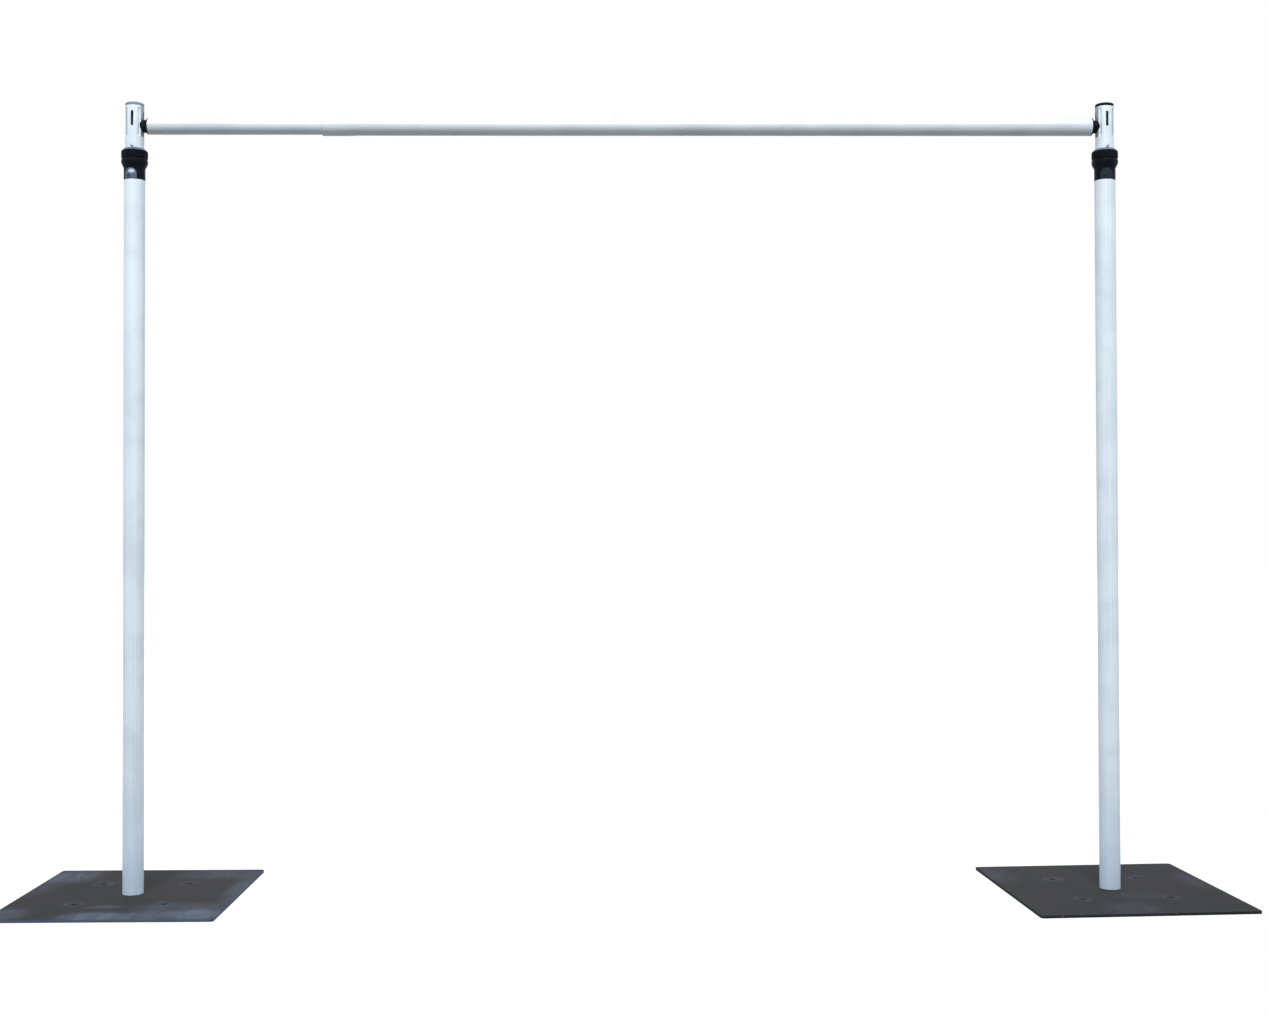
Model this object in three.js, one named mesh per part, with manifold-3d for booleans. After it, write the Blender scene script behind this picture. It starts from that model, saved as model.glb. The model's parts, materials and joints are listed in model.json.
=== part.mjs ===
// Pipe and drape backdrop stand: two telescopic uprights on base plates and a telescopic crossbar
// that hooks into slots in their heads. Millimetres, +Z up, X along the bar, the front faces -Y.
// The origin is on the floor under the middle of the stand.
import * as THREE from 'three';
import { mergeVertices } from 'three/addons/utils/BufferGeometryUtils.js';
import Module from 'manifold-3d';

const wasm = await Module();
wasm.setup();

// Overall sizes
const uprightSpacing = 2290; // axis to axis
const standHeight = 1857; // floor to the top of a collapsed upright
const rightPlateTurnDegrees = 3.4; // the right plate stands slightly turned on its pin

// Clearances
const fitGap = 0.25; // round a bush or a spigot in its tube
const runningGap = 0.3; // between pieces that turn, slide or are cut to each other
const cutOverrun = 2; // how far a cutter runs past the face that it opens

// Base plate
const plateSide = 500;
const plateThickness = 6;
const plateCornerRadius = 8;
const dishSpacing = 205; // between the four dished holes
const dishDiameter = 40;
const dishDepth = 1.6;
const dishHoleDiameter = 10;

// Base pin and the bolt that holds it from below
const pinHeight = 100;
const pinWall = 4;
const pinFloor = 16;
const pinChamfer = 2.5;
const boltDiameter = 8;
const boltLength = 19;
const boltHeadDiameter = 16;
const boltHeadHeight = 4.2;
const boltKeyAcrossFlats = 5;
const boltKeyDepth = 2.5;

// Tubes of the upright
const uprightDiameter = 48;
const uprightWall = 1.3;
const mastGap = 1.2; // room between outer and inner tube, filled by the liner and the foot bush
const mastWall = 1.5;
const mastFootRise = 10; // foot bush above the base pin when collapsed
const headExposed = 107.5; // inner tube seen above the lock ring when collapsed

// Head: slots for the hooks and flutes pressed between them
const slotWidth = 6;
const slotHeight = 34.5;
const slotTopDrop = 21.5; // below the top of the head
const fluteRadius = 4.8;
const fluteDepth = 2.2;
const fluteLength = 69;
const fluteCapGap = 0.5; // below the cap's spigot

// Head cap
const capFlange = 7.5;
const capSpigot = 4;
const capRounding = 3;

// Lock: fixed body with its liner, turning ring and split collet
const linerLength = 40;
const skirtProud = 0.4; // the skirt stands this much proud of the tube
const skirtHeight = 28;
const lobeDiameter = 60.6;
const lobeTaper = 12; // height of the cone from skirt to lobe
const lobeBand = 6.5;
const waistChamferWidth = 1.7;
const waistChamferHeight = 3;
const neckWall = 2.4;
const neckHeight = 9;
const neckSeatDepth = 6; // pocket in the neck for the collet's tail
const ringHeight = 24.7;
const ringBevelHeight = 9;
const ringBevelWidth = 7;
const ringLip = 2.4; // thickness of the ring's lip over the collet
const gripGrooveRadius = 4;
const gripGrooveDepth = 0.8;
const gripGrooveCount = 16;
const colletWall = 1.4;
const colletConeHeight = 7;
const colletSplit = 3;

// Foot bush of the inner tube
const footCollar = 10;
const footSpigot = 25;
const footWall = 3.5;

// Rivets
const rivetDiameter = 4.8;
const rivetHeadDiameter = 8;
const rivetHeadHeight = 1.6;
const rivetBulbDiameter = 6.6;
const rivetBulbLength = 3;
const rivetRimShare = 0.4; // of the head's height
const rivetCrownShare = 0.6; // of the head's radius
const lockRivetDrop = 20; // below the mouth of the outer tube
const plugRivetInset = 9; // from the end of a bar tube, short of where the outer tube slides to

// Crossbar tubes
const barDiameter = 42;
const barWall = 1.5;
const barGap = 0.5; // room between the two bar tubes
const barOuterLength = 1815;
const barInnerLength = 1711;
const barEndGap = 12; // bar tube's end to the side of the head
const barAboveSeat = 2; // bar's axis above the bottom of the slots
const mouthGrowth = 0.8; // swelling of the outer bar tube's mouth, on the radius
const mouthLength = 62;
const mouthTaper = 18;
const mouthBushLength = 50;
const mouthBushInset = 1.5;

// Glide bush on the hidden end of the inner bar tube
const glideCollar = 8;
const glideSpigot = 25;
const glideWall = 3.5;

// End plugs, hooks and hook pins
const plugSpigot = 42;
const plugCollar = 2.5; // flush with its tube
const plugTaper = 3; // from the collar to the nose
const plugNoseDiameter = 30;
const bladeSideGap = 0.75; // blade to each side of the slot
const bladeRootHeight = 24;
const bladeRootLength = 28; // into the plug
const neckBladeHeight = 12;
const lipDrop = 15;
const lipThickness = 8.5;
const lipGap = 0.5; // lip to the inside of the head
const lipLeadIn = 3;
const hookPinDiameter = 5;
const hookPinInset = 20; // from the end of a bar tube
const hookPinRecess = 1.5; // pin's ends inside the plug

// Facets
const outerSides = 32;
const innerSides = 24;
const smallSides = 12;

// Sizes that follow
const uprightRadius = uprightDiameter / 2;
const uprightBore = uprightRadius - uprightWall;
const mastRadius = uprightBore - mastGap;
const mastBore = mastRadius - mastWall;
const linerRadius = uprightBore - fitGap;
const linerBore = mastRadius + fitGap;
const pinRadius = uprightBore - runningGap;
const lobeHeight = lobeTaper + lobeBand + waistChamferHeight;
const lockHeight = skirtHeight + lobeHeight + runningGap + ringHeight;
const uprightTop = standHeight - headExposed - lockHeight;
const skirtRadius = uprightRadius + skirtProud;
const colletRadius = linerBore + colletWall;
const neckPocket = colletRadius + runningGap;
const neckRadius = neckPocket + neckWall;
const lobeRadius = lobeDiameter / 2;
const waistRadius = lobeRadius - waistChamferWidth;
const mastTop = standHeight - capFlange;
const mastFoot = plateThickness + pinHeight + mastFootRise + footCollar;
const slotBottom = standHeight - slotTopDrop - slotHeight;
const barHeight = slotBottom + barAboveSeat;
const barRadius = barDiameter / 2;
const barBore = barRadius - barWall;
const barInnerRadius = barBore - barGap;
const barInnerBore = barInnerRadius - barWall;
const barEnd = mastRadius + barEndGap;
const copeRadius = mastRadius + runningGap;
const noseRadius = plugNoseDiameter / 2;
const bladeThickness = slotWidth - 2 * bladeSideGap;
const rightPlateTurn = THREE.MathUtils.degToRad(rightPlateTurnDegrees);
const turnedReachShare = Math.cos(rightPlateTurn) + Math.sin(rightPlateTurn);
const rightPlateReach = (plateSide / 2 - plateCornerRadius) * turnedReachShare + plateCornerRadius;
const centring = (rightPlateReach - plateSide / 2) / 2; // middle of the plates' outer ends, from mid span
const leftX = -uprightSpacing / 2 - centring;
const rightX = uprightSpacing / 2 - centring;

// Materials
function finish(color, roughness, metalness) {
  return () => new THREE.MeshStandardMaterial({ color, roughness, metalness });
}
const anodisedTube = finish(0xdfe9f2, 0.38, 0.55);
const blackPaint = finish(0x444448, 0.5, 0.1);
const blackNylon = finish(0x1c2027, 0.55, 0);
const greyPlastic = finish(0x6c7480, 0.5, 0);
const zincSteel = finish(0xb8bcc0, 0.35, 0.9);

// Solids
function solidOf(geometry) {
  const bare = geometry.clone();
  bare.deleteAttribute('normal');
  bare.deleteAttribute('uv');
  const merged = mergeVertices(bare);
  const corners = merged.index.array;
  const triangles = [];
  for (let i = 0; i < corners.length; i += 3) {
    const [a, b, c] = corners.slice(i, i + 3);
    if (a !== b && b !== c && c !== a) triangles.push(a, b, c);
  }
  return new wasm.Manifold(new wasm.Mesh({
    numProp: 3,
    vertProperties: new Float32Array(merged.attributes.position.array),
    triVerts: new Uint32Array(triangles),
  }));
}

function geometryOf(solid) {
  const mesh = solid.getMesh();
  const geometry = new THREE.BufferGeometry();
  geometry.setAttribute('position', new THREE.BufferAttribute(mesh.vertProperties, 3));
  geometry.setIndex(new THREE.BufferAttribute(mesh.triVerts, 1));
  geometry.computeVertexNormals();
  return geometry;
}

function cut(geometry, cutters) {
  return geometryOf(cutters.reduce((rest, cutter) => rest.subtract(solidOf(cutter)), solidOf(geometry)));
}

function join(geometry, additions) {
  return geometryOf(additions.reduce((rest, extra) => rest.add(solidOf(extra)), solidOf(geometry)));
}

// A profile of [radius, height] pairs, anticlockwise, turned about the Z axis
function turned(profile, sides = outerSides) {
  const points = profile.map(([radius, height]) => new THREE.Vector2(radius, height));
  if (profile[0][0] > 0) points.push(points[0].clone());
  return new THREE.LatheGeometry(points, sides).rotateX(Math.PI / 2);
}

function tubeAlongZ(outer, bore, from, to, sides = outerSides) {
  return turned([[bore, from], [outer, from], [outer, to], [bore, to]], sides);
}

function rodAlongZ(radius, from, to, sides = outerSides) {
  return turned([[0, from], [radius, from], [radius, to], [0, to]], sides);
}

// Turns a piece made along Z so that it runs along X
function alongX(geometry) {
  return geometry.rotateY(Math.PI / 2);
}

// Turns a piece made along Z so that it points to the back, +Y, or to the front, -Y
function alongY(geometry, direction) {
  return geometry.rotateX(-direction * Math.PI / 2);
}

function box(width, depth, height) {
  return new THREE.BoxGeometry(width, depth, height);
}

function piece(name, geometry, material) {
  const mesh = new THREE.Mesh(geometry, material());
  mesh.name = name;
  return mesh;
}

// Base plate: square with small corners, four dished holes and a countersink for the pin's bolt
function basePlate() {
  const half = plateSide / 2;
  const r = plateCornerRadius;
  const outline = new THREE.Shape();
  outline.moveTo(half - r, -half);
  outline.absarc(half - r, -half + r, r, -Math.PI / 2, 0, false);
  outline.absarc(half - r, half - r, r, 0, Math.PI / 2, false);
  outline.absarc(-half + r, half - r, r, Math.PI / 2, Math.PI, false);
  outline.absarc(-half + r, -half + r, r, Math.PI, Math.PI * 3 / 2, false);
  const slab = new THREE.ExtrudeGeometry(outline, {
    depth: plateThickness, bevelEnabled: false, curveSegments: 4,
  });
  const slope = (dishDiameter - dishHoleDiameter) / 2 / dishDepth;
  const dish = turned([
    [0, -cutOverrun],
    [dishHoleDiameter / 2, -cutOverrun],
    [dishHoleDiameter / 2, plateThickness - dishDepth],
    [dishDiameter / 2 + slope * cutOverrun, plateThickness + cutOverrun],
    [0, plateThickness + cutOverrun],
  ], innerSides);
  const cutters = [];
  for (const side of [-1, 1]) {
    for (const end of [-1, 1]) {
      cutters.push(dish.clone().translate(side * dishSpacing / 2, end * dishSpacing / 2, 0));
    }
  }
  const headRadius = boltHeadDiameter / 2 + runningGap;
  const shankRadius = boltDiameter / 2 + runningGap;
  const headSlope = (headRadius - shankRadius) / boltHeadHeight;
  cutters.push(turned([
    [0, -cutOverrun],
    [headRadius + headSlope * cutOverrun, -cutOverrun],
    [shankRadius, boltHeadHeight],
    [shankRadius, plateThickness + cutOverrun],
    [0, plateThickness + cutOverrun],
  ], innerSides));
  return cut(slab, cutters);
}

// Base pin: a turned cup, open at the top, threaded in its floor
function basePin() {
  const bore = boltDiameter / 2 + runningGap;
  const inside = pinRadius - pinWall;
  return turned([
    [bore, 0],
    [pinRadius, 0],
    [pinRadius, pinHeight - pinChamfer],
    [pinRadius - pinChamfer, pinHeight],
    [inside, pinHeight],
    [inside, pinFloor],
    [bore, pinFloor],
  ], innerSides);
}

// Countersunk bolt with a hexagon socket, its head just inside the underside of the plate
function basePinBolt() {
  const bottom = runningGap;
  const bolt = turned([
    [0, bottom],
    [boltHeadDiameter / 2, bottom],
    [boltDiameter / 2, bottom + boltHeadHeight],
    [boltDiameter / 2, bottom + boltLength],
    [0, bottom + boltLength],
  ], innerSides);
  const socket = rodAlongZ(boltKeyAcrossFlats / Math.sqrt(3), bottom - cutOverrun, bottom + boltKeyDepth, 6);
  return cut(bolt, [socket]);
}

// Rivet along Z: its seat at height zero, its head above. A bulb closes it on the far side of the grip.
function rivet(grip, hasBulb) {
  const shank = rivetDiameter / 2;
  const head = rivetHeadDiameter / 2;
  const tail = hasBulb
    ? [[0, -grip - rivetBulbLength], [rivetBulbDiameter / 2, -grip - rivetBulbLength / 2],
      [rivetBulbDiameter / 2, -grip], [shank, -grip]]
    : [[0, -grip], [shank, -grip]];
  return turned([
    ...tail,
    [shank, 0],
    [head, 0],
    [head, rivetHeadHeight * rivetRimShare],
    [head * rivetCrownShare, rivetHeadHeight],
    [0, rivetHeadHeight],
  ], smallSides);
}

function rivetHole(depth) {
  return rodAlongZ(rivetDiameter / 2 + runningGap, -depth, cutOverrun, smallSides);
}

// Outer tube of the upright, with the lock rivet's hole at the back
function uprightTube() {
  const tube = tubeAlongZ(uprightRadius, uprightBore, plateThickness, uprightTop);
  const hole = alongY(rivetHole(uprightWall + cutOverrun), 1);
  hole.translate(0, uprightRadius, uprightTop - lockRivetDrop);
  return cut(tube, [hole]);
}

// Lock body: thin liner in the tube, flush skirt, flared lobe and the neck inside the ring
function lockBody() {
  const lobeTop = skirtHeight + lobeHeight;
  const body = turned([
    [linerBore, -linerLength],
    [linerRadius, -linerLength],
    [linerRadius, 0],
    [skirtRadius, 0],
    [skirtRadius, skirtHeight],
    [lobeRadius, skirtHeight + lobeTaper],
    [lobeRadius, skirtHeight + lobeTaper + lobeBand],
    [waistRadius, lobeTop],
    [neckRadius, lobeTop],
    [neckRadius, lobeTop + neckHeight],
    [neckPocket, lobeTop + neckHeight],
    [neckPocket, lobeTop + neckHeight - neckSeatDepth],
    [linerBore, lobeTop + neckHeight - neckSeatDepth],
  ]);
  const hole = alongY(rivetHole(uprightRadius - linerBore + cutOverrun), 1);
  hole.translate(0, uprightRadius, -lockRivetDrop);
  return cut(body, [hole]).translate(0, 0, uprightTop);
}

// Lock ring: its foot is at height zero, it turns on the neck and its inner cone closes the collet
function lockRing() {
  const neckBore = neckRadius + runningGap;
  const lipBottom = ringHeight - ringLip;
  const ring = turned([
    [neckBore, 0],
    [waistRadius, 0],
    [lobeRadius, waistChamferHeight],
    [lobeRadius, ringHeight - ringBevelHeight],
    [lobeRadius - ringBevelWidth, ringHeight],
    [mastRadius + runningGap, ringHeight],
    [mastRadius + runningGap, lipBottom],
    [colletRadius + runningGap, lipBottom],
    [neckBore, lipBottom - colletConeHeight],
  ]);
  const grooves = [];
  for (let i = 0; i < gripGrooveCount; i += 1) {
    const angle = (i + 0.5) / gripGrooveCount * Math.PI * 2;
    const reach = lobeRadius + gripGrooveRadius - gripGrooveDepth;
    const groove = rodAlongZ(gripGrooveRadius, -cutOverrun, ringHeight + cutOverrun, smallSides);
    grooves.push(groove.translate(reach * Math.cos(angle), reach * Math.sin(angle), 0));
  }
  return cut(ring, grooves).translate(0, 0, uprightTop + skirtHeight + lobeHeight + runningGap);
}

// Lock collet: a split cone round the inner tube, its tail in the neck's pocket
function lockCollet() {
  const ringFoot = skirtHeight + lobeHeight + runningGap;
  const top = ringFoot + ringHeight - ringLip - runningGap;
  const tail = skirtHeight + lobeHeight + neckHeight - neckSeatDepth + runningGap;
  const collet = turned([
    [linerBore, tail],
    [colletRadius, tail],
    [colletRadius, top - colletConeHeight],
    [neckRadius, top - colletConeHeight],
    [colletRadius, top],
    [linerBore, top],
  ]);
  const split = box(colletSplit, uprightDiameter, lockHeight);
  split.translate(0, uprightDiameter / 2, ringFoot);
  return cut(collet, [split]).translate(0, 0, uprightTop);
}

// Inner tube: slots on the four sides of its head, pressed flutes between them, whose metal
// bulges inwards, and the stop rivet's hole in front
function mastTube() {
  const tube = tubeAlongZ(mastRadius, mastBore, mastFoot, mastTop);
  const fluteTop = mastTop - capSpigot - fluteCapGap;
  const fluteMiddle = fluteTop - fluteLength / 2;
  const straight = fluteLength - 2 * fluteRadius;
  const reach = mastRadius + fluteRadius - fluteDepth;
  const grooves = [];
  const bulges = [];
  for (let quarter = 0; quarter < 4; quarter += 1) {
    const angle = (quarter + 0.5) * Math.PI / 2;
    const place = (geometry) => geometry.rotateX(Math.PI / 2)
      .translate(reach * Math.cos(angle), reach * Math.sin(angle), fluteMiddle);
    grooves.push(place(new THREE.CapsuleGeometry(fluteRadius, straight, 3, 16)));
    bulges.push(place(new THREE.CapsuleGeometry(fluteRadius + mastWall, straight, 3, 16)));
  }
  const core = solidOf(rodAlongZ(mastRadius - mastWall / 2, mastFoot, mastTop));
  const pressed = bulges.map((bulge) => geometryOf(solidOf(bulge).intersect(core)));
  const slotMiddle = slotBottom + slotHeight / 2;
  const slots = [
    box(slotWidth, uprightDiameter, slotHeight).translate(0, 0, slotMiddle),
    box(uprightDiameter, slotWidth, slotHeight).translate(0, 0, slotMiddle),
  ];
  const hole = alongY(rivetHole(mastWall + cutOverrun), -1);
  hole.translate(0, -mastRadius, stopRivetHeight());
  return cut(join(tube, pressed), [...grooves, ...slots, hole]);
}

function stopRivetHeight() {
  return standHeight - headExposed + runningGap + rivetHeadDiameter / 2;
}

// Head cap: a round-edged flange with a short spigot in the tube
function headCap() {
  const spigot = mastBore - fitGap;
  const edge = [];
  const steps = 3;
  for (let i = 0; i <= steps; i += 1) {
    const angle = i / steps * Math.PI / 2;
    edge.push([
      mastRadius - capRounding + capRounding * Math.cos(angle),
      capFlange - capRounding + capRounding * Math.sin(angle),
    ]);
  }
  return turned([
    [0, -capSpigot],
    [spigot, -capSpigot],
    [spigot, 0],
    [mastRadius, 0],
    ...edge,
    [0, capFlange],
  ]).translate(0, 0, mastTop);
}

// Foot bush: its collar fills the outer tube below the inner tube's end, its spigot is inside it
function footBush() {
  const bore = mastBore - fitGap - footWall;
  return turned([
    [bore, -footCollar],
    [linerRadius, -footCollar],
    [linerRadius, 0],
    [mastBore - fitGap, 0],
    [mastBore - fitGap, footSpigot],
    [bore, footSpigot],
  ], innerSides).translate(0, 0, mastFoot);
}

function stopRivet() {
  const seat = mastRadius + runningGap;
  const shape = rivet(mastWall + 2 * runningGap, true);
  return alongY(shape, -1).translate(0, -seat, stopRivetHeight());
}

function lockRivet() {
  const seat = uprightRadius + runningGap;
  const shape = rivet(seat - linerBore - runningGap / 2, false);
  return alongY(shape, 1).translate(0, seat, uprightTop - lockRivetDrop);
}

// One upright with its base; the names of its pieces start with its side
function stand(side, x, plateTurn) {
  const base = new THREE.Group();
  base.rotation.z = plateTurn;
  base.add(
    piece(`${side}_base_plate`, basePlate(), blackPaint),
    piece(`${side}_base_pin`, basePin().translate(0, 0, plateThickness), zincSteel),
    piece(`${side}_base_pin_bolt`, basePinBolt(), zincSteel),
  );
  const upright = new THREE.Group();
  upright.position.x = x;
  upright.add(
    base,
    piece(`${side}_outer_tube`, uprightTube(), anodisedTube),
    piece(`${side}_lock_body`, lockBody(), blackNylon),
    piece(`${side}_lock_ring`, lockRing(), blackNylon),
    piece(`${side}_lock_collet`, lockCollet(), greyPlastic),
    piece(`${side}_lock_rivet`, lockRivet(), zincSteel),
    piece(`${side}_inner_tube`, mastTube(), anodisedTube),
    piece(`${side}_head_cap`, headCap(), greyPlastic),
    piece(`${side}_stop_rivet`, stopRivet(), zincSteel),
    piece(`${side}_foot_bush`, footBush(), blackNylon),
  );
  return upright;
}

// The crossbar is made with the left upright's axis at X zero and the bar's axis at height zero.

// Inner bar tube, with a rivet hole at the back
function barInnerTube() {
  const tube = alongX(tubeAlongZ(barInnerRadius, barInnerBore, barEnd, barEnd + barInnerLength));
  const hole = alongY(rivetHole(barWall + cutOverrun), 1);
  hole.translate(barEnd + plugRivetInset, barInnerRadius, 0);
  return cut(tube, [hole]);
}

// Outer bar tube, with its swelled mouth towards the left upright. It ends at the right plug.
function barOuterTube() {
  const far = uprightSpacing - barEnd;
  const mouth = far - barOuterLength;
  const tube = alongX(turned([
    [barBore + mouthGrowth, mouth],
    [barRadius + mouthGrowth, mouth],
    [barRadius + mouthGrowth, mouth + mouthLength],
    [barRadius, mouth + mouthLength + mouthTaper],
    [barRadius, far],
    [barBore, far],
    [barBore, mouth + mouthLength + mouthTaper],
    [barBore + mouthGrowth, mouth + mouthLength],
  ]));
  const hole = alongY(rivetHole(barWall + cutOverrun), 1);
  hole.translate(far - plugRivetInset, barRadius, 0);
  return cut(tube, [hole]);
}

function mouthBush() {
  const mouth = uprightSpacing - barEnd - barOuterLength;
  const outer = barBore + mouthGrowth - fitGap;
  const from = mouth + mouthBushInset;
  return alongX(tubeAlongZ(outer, barInnerRadius + fitGap, from, from + mouthBushLength, innerSides));
}

function glideBush() {
  const bore = barInnerBore - fitGap - glideWall;
  return alongX(turned([
    [bore, -glideSpigot],
    [barInnerBore - fitGap, -glideSpigot],
    [barInnerBore - fitGap, 0],
    [barBore - fitGap, 0],
    [barBore - fitGap, glideCollar],
    [bore, glideCollar],
  ], innerSides).translate(0, 0, barEnd + barInnerLength));
}

// End plug: its collar is flush with the tube, its nose is coped to the round head and slotted
// for the hook's blade
function endPlug(tubeRadius, tubeBore, rivetSide) {
  const spigot = tubeBore - fitGap;
  const body = alongX(turned([
    [0, 0],
    [noseRadius, 0],
    [noseRadius, barEnd - plugCollar - plugTaper],
    [tubeRadius, barEnd - plugCollar],
    [tubeRadius, barEnd],
    [spigot, barEnd],
    [spigot, barEnd + plugSpigot],
    [0, barEnd + plugSpigot],
  ]));
  const head = rodAlongZ(copeRadius, -barDiameter, barDiameter);
  const slotEnd = barEnd + bladeRootLength + runningGap;
  const slot = box(slotEnd, bladeThickness + 2 * runningGap, bladeRootHeight + 2 * runningGap);
  slot.translate(slotEnd / 2, 0, 0);
  const hole = alongY(rivetHole(plugRivetDepth(tubeRadius, spigot) + runningGap), rivetSide);
  hole.translate(barEnd + plugRivetInset, rivetSide * tubeRadius, 0);
  return cut(body, [head, slot, hookPinHole(), hole]);
}

// The plug's rivet reaches half way from the spigot's skin to the bar's axis
function plugRivetDepth(tubeRadius, spigot) {
  return tubeRadius - spigot / 2;
}

function plugRivet(tubeRadius, tubeBore, rivetSide) {
  const seat = tubeRadius + runningGap;
  const grip = plugRivetDepth(tubeRadius, tubeBore - fitGap) + runningGap;
  return alongY(rivet(grip, false), rivetSide).translate(barEnd + plugRivetInset, rivetSide * seat, 0);
}

function hookPinHole() {
  const radius = hookPinDiameter / 2 + runningGap;
  return alongY(rodAlongZ(radius, -barDiameter, barDiameter, smallSides), 1)
    .translate(barEnd + hookPinInset, 0, 0);
}

// Hook: a steel blade whose neck rests on the bottom of the slot and whose lip drops behind it
function hook() {
  const seat = -barAboveSeat + runningGap;
  const neckTop = seat + neckBladeHeight;
  const rootEnd = barEnd + bladeRootLength;
  const lipOuter = mastBore - lipGap;
  const lipInner = lipOuter - lipThickness;
  const lipBottom = -barAboveSeat - lipDrop;
  const outline = new THREE.Shape([
    [rootEnd, -bladeRootHeight / 2],
    [rootEnd, bladeRootHeight / 2],
    [copeRadius, bladeRootHeight / 2],
    [copeRadius, neckTop],
    [lipInner, neckTop],
    [lipInner, lipBottom + lipLeadIn],
    [lipInner + lipLeadIn, lipBottom],
    [lipOuter, lipBottom],
    [lipOuter, seat],
    [copeRadius, seat],
    [copeRadius, -bladeRootHeight / 2],
  ].map(([x, z]) => new THREE.Vector2(x, z)));
  const blade = new THREE.ExtrudeGeometry(outline, { depth: bladeThickness, bevelEnabled: false });
  blade.rotateX(Math.PI / 2).translate(0, bladeThickness / 2, 0);
  return cut(blade, [hookPinHole()]);
}

function hookPin(tubeBore) {
  const half = Math.sqrt((tubeBore - fitGap) ** 2 - (hookPinDiameter / 2) ** 2) - hookPinRecess;
  const pin = alongY(rodAlongZ(hookPinDiameter / 2, -half, half, smallSides), 1);
  return pin.translate(barEnd + hookPinInset, 0, 0);
}

// The plug, hook, pin and rivet of one end. The right end is turned about, which takes its rivet
// from the front to the back.
function barEndPieces(side, tubeRadius, tubeBore) {
  const end = new THREE.Group();
  const turnedAbout = side === 'right';
  const rivetSide = turnedAbout ? -1 : 1;
  end.rotation.z = turnedAbout ? Math.PI : 0;
  end.position.x = turnedAbout ? uprightSpacing : 0;
  end.add(
    piece(`${side}_end_plug`, endPlug(tubeRadius, tubeBore, rivetSide), blackNylon),
    piece(`${side}_hook`, hook(), zincSteel),
    piece(`${side}_hook_pin`, hookPin(tubeBore), zincSteel),
    piece(`${side}_plug_rivet`, plugRivet(tubeRadius, tubeBore, rivetSide), zincSteel),
  );
  return end;
}

function crossbar() {
  const bar = new THREE.Group();
  bar.add(
    barEndPieces('left', barInnerRadius, barInnerBore),
    barEndPieces('right', barRadius, barBore),
    piece('bar_inner_tube', barInnerTube(), anodisedTube),
    piece('bar_outer_tube', barOuterTube(), anodisedTube),
    piece('bar_mouth_bush', mouthBush(), blackNylon),
    piece('bar_glide_bush', glideBush(), blackNylon),
  );
  bar.position.set(leftX, 0, barHeight);
  return bar;
}

const backdropStand = new THREE.Group();
backdropStand.add(
  stand('left', leftX, 0),
  stand('right', rightX, rightPlateTurn),
  crossbar(),
);

export default backdropStand;
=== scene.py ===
import json
from math import cos, hypot, pi, radians, sin

import bmesh
import bpy
from mathutils import Matrix, Vector


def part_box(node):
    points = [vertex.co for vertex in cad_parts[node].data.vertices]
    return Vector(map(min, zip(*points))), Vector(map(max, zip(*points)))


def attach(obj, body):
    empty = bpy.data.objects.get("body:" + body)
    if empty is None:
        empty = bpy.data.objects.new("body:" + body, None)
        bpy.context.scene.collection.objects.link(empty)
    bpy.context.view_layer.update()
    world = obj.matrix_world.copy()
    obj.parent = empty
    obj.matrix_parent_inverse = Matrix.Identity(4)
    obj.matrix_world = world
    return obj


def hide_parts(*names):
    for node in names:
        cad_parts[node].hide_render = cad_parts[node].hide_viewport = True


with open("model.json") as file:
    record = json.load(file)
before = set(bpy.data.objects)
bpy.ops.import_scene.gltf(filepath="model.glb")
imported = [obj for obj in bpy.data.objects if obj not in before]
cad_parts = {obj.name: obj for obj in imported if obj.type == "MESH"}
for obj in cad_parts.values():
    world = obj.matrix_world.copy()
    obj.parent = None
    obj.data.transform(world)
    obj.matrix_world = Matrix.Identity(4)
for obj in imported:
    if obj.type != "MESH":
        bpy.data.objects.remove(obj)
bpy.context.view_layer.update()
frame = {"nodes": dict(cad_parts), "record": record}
print("frame:", len(frame["nodes"]), "nodes")

mm = 0.001  # the sizes below are in millimetres, the meshes in metres
sides = ("left", "right")


# Camera, at the photograph's angle: its place in metres, its turns in degrees

cameraValues = {
    "place": (-0.02711, -3.65777, 0.84307),
    "yaw": -0.738,
    "pitch": 90.858,
    "roll": -0.156,
    "lens": 44.143,
    "sensor": 36,
}


def addCamera(values):
    data = bpy.data.cameras.new("camera")
    data.sensor_width = values["sensor"]
    data.lens = values["lens"]
    camera = bpy.data.objects.new("camera", data)
    turn = Matrix.Rotation(radians(values["yaw"]), 4, "Z")
    turn = turn @ Matrix.Rotation(radians(values["pitch"]), 4, "X")
    turn = turn @ Matrix.Rotation(radians(values["roll"]), 4, "Z")
    camera.matrix_world = Matrix.Translation(values["place"]) @ turn
    bpy.context.scene.collection.objects.link(camera)
    bpy.context.scene.camera = camera


addCamera(cameraValues)
print("camera set")


# Materials. In their values a ramp is the low and the high input and, where they aren't 0 and 1,
# the two outputs. The scale of a noise is in cells per metre.

def linear(color):
    # a colour as given on screen, made linear by the usual screen curve
    channels = [int(color[i:i + 2], 16) / 255 for i in (1, 3, 5)]
    return tuple(c / 12.92 if c <= 0.04045 else ((c + 0.055) / 1.055) ** 2.4
                 for c in channels) + (1,)


def newMaterial(name):
    material = bpy.data.materials.new(name)
    material.use_nodes = True
    tree = material.node_tree
    return material, tree, tree.nodes["Principled BSDF"]


def objectPoints(tree, scale=(1, 1, 1), centre=(0, 0, 0), turn=0):
    # Object coordinates, centred on a piece, turned with it and stretched
    coordinates = tree.nodes.new("ShaderNodeTexCoord")
    mapping = tree.nodes.new("ShaderNodeMapping")
    mapping.vector_type = "TEXTURE"
    mapping.inputs["Location"].default_value = centre
    mapping.inputs["Rotation"].default_value = (0, 0, turn)
    mapping.inputs["Scale"].default_value = tuple(1 / s for s in scale)
    tree.links.new(coordinates.outputs["Object"], mapping.inputs["Vector"])
    return mapping.outputs["Vector"]


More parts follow.
